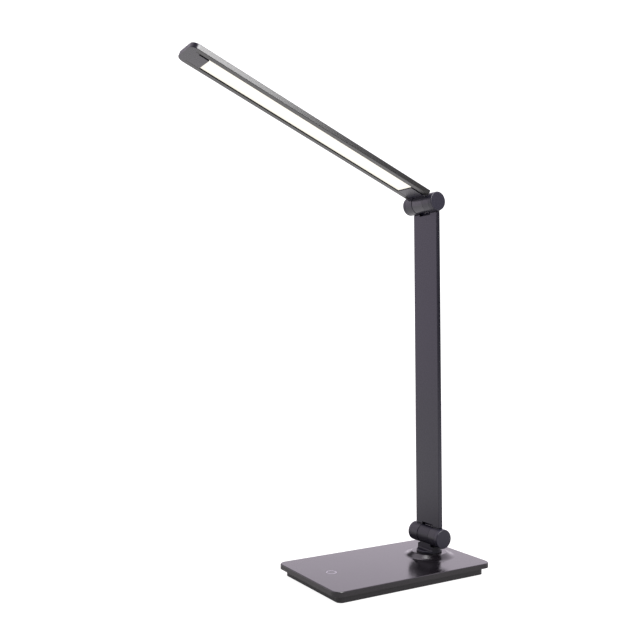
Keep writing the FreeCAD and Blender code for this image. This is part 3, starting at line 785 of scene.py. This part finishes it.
class LAMP_OT_inside(bpy.types.Operator):
    """Finish what is closed inside the lamp"""

    bl_idname = "lamp.inside"
    bl_label = "Inside"

    def execute(self, context):
        steel = linear("#a8a9ab")
        dress(rolled_steel("rolled_steel", linear("#6f7073"), linear("#8d8e91")), "ballast_plate")
        plated = plated_steel("plated_steel", steel, lighter(steel, 0.2), roughness=0.28)
        dress(plated, "closing_screws", "board_screws", "stop_washer", "swivel_nut")
        dress(plated, "lower_hinge_pin", "lower_hinge_nut", "upper_hinge_pin", "upper_hinge_nut")
        board = circuit_board("solder_mask", linear("#1f6b3f"), linear("#3f8f5c"))
        dress(board, "control_board", "led_strips")
        dress(moulded_rubber("lead_jacket", linear("#1b1b1c"), linear("#262627")), "arm_lead")
        dress(clear_acrylic("clear_cast_acrylic", linear("#eef4f2")), "light_guide")
        dress(white_film("white_reflector_film", linear("#e9e9e6"), linear("#f4f4f2")), "reflector_sheet")
        dress(led_phosphor("led_phosphor", linear("#f2cf5a"), linear("#fff1b8"), strength=3.0), "leds")
        return {"FINISHED"}


class LAMP_OT_stage(bpy.types.Operator):
    """Lay the floor, light the studio and place the camera"""

    bl_idname = "lamp.stage"
    bl_label = "Studio"

    def execute(self, context):
        studio = context.scene.lamp_studio
        self.lay_floor(context, studio)
        self.light_room(context, studio)
        self.hang_softbox(context, "side_softbox", studio.softbox, *SIDE_SOFTBOX)
        self.hang_softbox(context, "overhead_softbox", studio.overhead, *OVERHEAD_SOFTBOX)
        self.place_camera(context, studio)
        context.scene.view_settings.view_transform = "Standard"
        return {"FINISHED"}

    def lay_floor(self, context, studio):
        """A disc: rings of points at growing radii round the lamp, just under the base."""
        around = np.linspace(0, 2 * math.pi, CIRCLE_POINTS, endpoint=False)
        radius = np.array(FLOOR_RADII)[:, None]
        level = np.full((len(FLOOR_RADII), around.size), -FLOOR_GAP)
        rings = np.stack((radius * np.cos(around), radius * np.sin(around), level), axis=-1)
        at = np.arange(rings[..., 0].size).reshape(rings.shape[:2])
        quads = np.stack((at[:-1], at[1:], np.roll(at[1:], -1, 1), np.roll(at[:-1], -1, 1)), axis=-1)
        faces = quads.reshape(-1, 4).tolist() + [at[0].tolist()]
        mesh = bpy.data.meshes.new("studio_floor")
        mesh.from_pydata(rings.reshape(-1, 3).tolist(), [], faces)
        colour = studio.floor[:]
        table = light_table("white_light_table", colour, lighter(colour, 0.03), studio.floor_glow)
        mesh.materials.append(table)
        floor = bpy.data.objects.new("studio_floor", mesh)
        context.scene.collection.objects.link(floor)

    def light_room(self, context, studio):
        """A room with dim parts that the lamp mirrors, so that its edges read. The camera sees it white."""
        world = bpy.data.worlds.new("white_room")
        world.use_nodes = True
        tree = world.node_tree
        tree.nodes.clear()
        direction = add(tree, "TexCoord", {}, {})["Generated"]
        strength = studio.room
        for shaded, inner, outer in DIM_PARTS:
            towards = Vector(shaded).normalized()
            between = {0: direction, 1: towards}
            near = add(tree, "VectorMath", {"operation": "DOT_PRODUCT"}, between)["Value"]
            around = {"From Min": outer, "To Min": 1.0, "From Max": inner, "To Max": studio.shade}
            kept = add(tree, "MapRange", {"interpolation_type": "SMOOTHSTEP"}, {"Value": near, **around})[0]
            strength = add(tree, "Math", {"operation": "MULTIPLY"}, {0: strength, 1: kept})[0]
        seen = add(tree, "LightPath", {}, {})["Is Camera Ray"]
        shown = add(tree, "Mix", {"data_type": "FLOAT"}, {0: seen, 2: strength, 3: studio.room})[0]
        colour = blend(tree, seen, studio.tint[:], WHITE)
        background = add(tree, "Background", {}, {"Color": colour, "Strength": shown})[0]
        add(tree, "OutputWorld", {}, {"Surface": background})
        context.scene.world = world

    def hang_softbox(self, context, name, power, size, place):
        """A softbox that faces the lamp and isn't seen by the camera."""
        light = bpy.data.lights.new(name, "AREA")
        light.shape = "RECTANGLE"
        light.size, light.size_y = size
        light.energy = power
        softbox = bpy.data.objects.new(name, light)
        softbox.location = place
        facing = LAMP_MIDDLE - softbox.location
        softbox.rotation_euler = facing.to_track_quat("-Z", "Y").to_euler()
        softbox.visible_camera = False
        context.scene.collection.objects.link(softbox)

    def place_camera(self, context, studio):
        """A camera whose right, up and back axes come from the azimuth, the pitch and the roll."""
        azimuth, pitch, roll = studio.camera_azimuth, studio.camera_pitch, studio.camera_roll
        back = Vector((math.sin(azimuth), -math.cos(azimuth), math.tan(pitch))).normalized()
        right = Vector((math.cos(azimuth), math.sin(azimuth), 0))
        up = back.cross(right)
        turned_right = right * math.cos(roll) + up * math.sin(roll)
        turned_up = up * math.cos(roll) - right * math.sin(roll)
        axes = Matrix((turned_right, turned_up, back)).transposed().to_4x4()
        data = bpy.data.cameras.new("photo_camera")
        data.lens = studio.lens
        camera = bpy.data.objects.new("photo_camera", data)
        camera.matrix_world = Matrix.Translation(studio.camera_place) @ axes
        context.scene.collection.objects.link(camera)
        context.scene.camera = camera


PIECES = (
    LAMP_OT_base,
    LAMP_OT_rubber,
    LAMP_OT_touch_ring,
    LAMP_OT_hinges,
    LAMP_OT_arm,
    LAMP_OT_head,
    LAMP_OT_diffuser,
    LAMP_OT_inside,
    LAMP_OT_stage,
)


class LAMP_PT_panel(bpy.types.Panel):
    """The lamp's pieces and settings in the sidebar"""

    bl_label = "Table Lamp"
    bl_space_type = "VIEW_3D"
    bl_region_type = "UI"
    bl_category = "Table Lamp"

    def draw(self, context):
        for operator in PIECES:
            self.layout.operator(operator.bl_idname)
        for settings in (context.scene.lamp_finishes, context.scene.lamp_sizes, context.scene.lamp_studio):
            box = self.layout.box()
            for name in settings.__annotations__:
                box.prop(settings, name)


CLASSES = (LampFinishes, LampSizes, StudioSettings, *PIECES, LAMP_PT_panel)


def register():
    """Adds the settings, the operators and the panel."""
    for cls in CLASSES:
        bpy.utils.register_class(cls)
    bpy.types.Scene.lamp_finishes = bpy.props.PointerProperty(type=LampFinishes)
    bpy.types.Scene.lamp_sizes = bpy.props.PointerProperty(type=LampSizes)
    bpy.types.Scene.lamp_studio = bpy.props.PointerProperty(type=StudioSettings)


def unregister():
    """Takes them out again."""
    del bpy.types.Scene.lamp_studio
    del bpy.types.Scene.lamp_sizes
    del bpy.types.Scene.lamp_finishes
    for cls in reversed(CLASSES):
        bpy.utils.unregister_class(cls)


def main():
    """Makes every piece in order."""
    register()
    bpy.ops.lamp.base()
    bpy.ops.lamp.rubber()
    bpy.ops.lamp.touch_ring()
    bpy.ops.lamp.hinges()
    bpy.ops.lamp.arm()
    bpy.ops.lamp.head()
    bpy.ops.lamp.diffuser()
    bpy.ops.lamp.inside()
    bpy.ops.lamp.stage()


if __name__ == "__main__":
    main()
